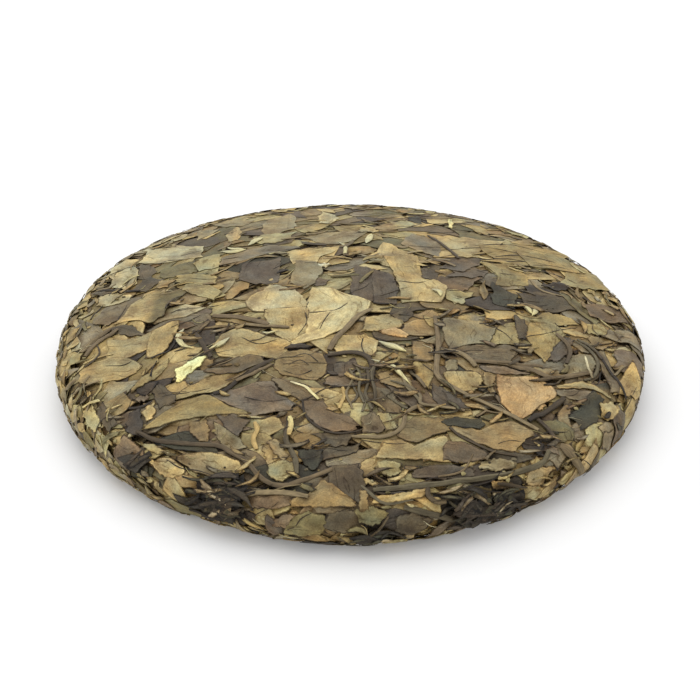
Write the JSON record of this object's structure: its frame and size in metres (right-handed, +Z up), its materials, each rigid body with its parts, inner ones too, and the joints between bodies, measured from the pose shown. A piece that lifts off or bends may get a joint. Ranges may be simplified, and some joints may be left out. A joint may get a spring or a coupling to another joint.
{
  "type": "pressed white tea cake",
  "caption": "Round pressed disc of dried white tea leaves and stalks, with a low domed top, a rounded edge and a flat base, broken up by hand to brew tea.",
  "frame": {"origin": "middle of the outline on the plane of the flat base", "axes": "+Z up out of the domed top, -Y towards the viewer of the picture, +X to the viewer's right"},
  "size_m": [0.1982, 0.2006, 0.028],
  "materials": {
    "pressed_leaf": "matte dried leaf"
  },
  "bodies": {
    "root": {"tea_cake": "pressed_leaf"}
  },
  "joints": []
}
